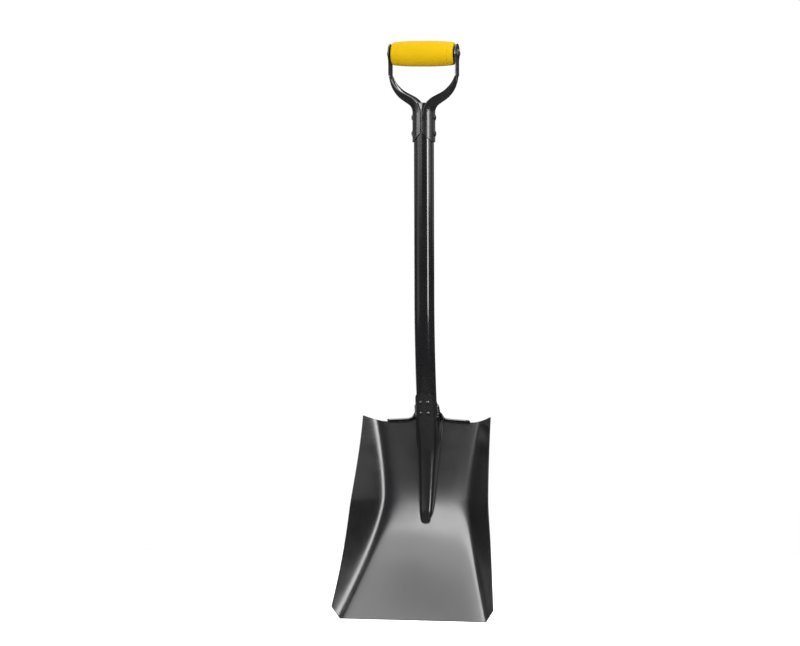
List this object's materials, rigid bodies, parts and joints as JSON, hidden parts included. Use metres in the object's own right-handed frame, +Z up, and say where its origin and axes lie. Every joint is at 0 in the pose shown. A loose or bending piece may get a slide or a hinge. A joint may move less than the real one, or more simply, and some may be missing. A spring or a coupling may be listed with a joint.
{
  "type": "square-mouth shovel",
  "caption": "All-steel square-mouth shovel: winged scoop blade with foot treads, cranked tube shaft and riveted D-handle with a turning barrel grip.",
  "frame": {"origin": "middle of the cutting edge, half way through the blade sheet", "axes": "+Z up the shaft towards the D-handle, -Y out of the blade's load face, +X to the right when looking along +Y"},
  "size_m": [0.2894, 0.1358, 0.9999],
  "materials": {
    "blade_enamel": "satin black enamel on pressed sheet steel",
    "shaft_enamel": "gloss black enamel on steel tube",
    "handle_enamel": "gloss black enamel on pressed steel",
    "rivet_enamel": "gloss black enamel on rivet steel",
    "weld_enamel": "black enamel over a rough weld bead",
    "grip_plastic": "satin moulded plastic"
  },
  "bodies": {
    "shovel": {"blade": "blade_enamel", "shaft_tube": "shaft_enamel", "handle_strap_left": "handle_enamel", "handle_strap_right": "handle_enamel", "grip_pin": "rivet_enamel", "sleeve_rivet_upper": "rivet_enamel", "sleeve_rivet_lower": "rivet_enamel", "socket_rivets": "rivet_enamel", "socket_weld_left": "weld_enamel", "socket_weld_right": "weld_enamel"},
    "grip": {"grip_barrel": "grip_plastic"}
  },
  "joints": [
    {"name": "grip_spin", "type": "hinge", "parent": "shovel", "child": "grip", "pos_m": [0, 0.09, 0.9777], "axis": [1, 0, 0], "continuous": true}
  ]
}
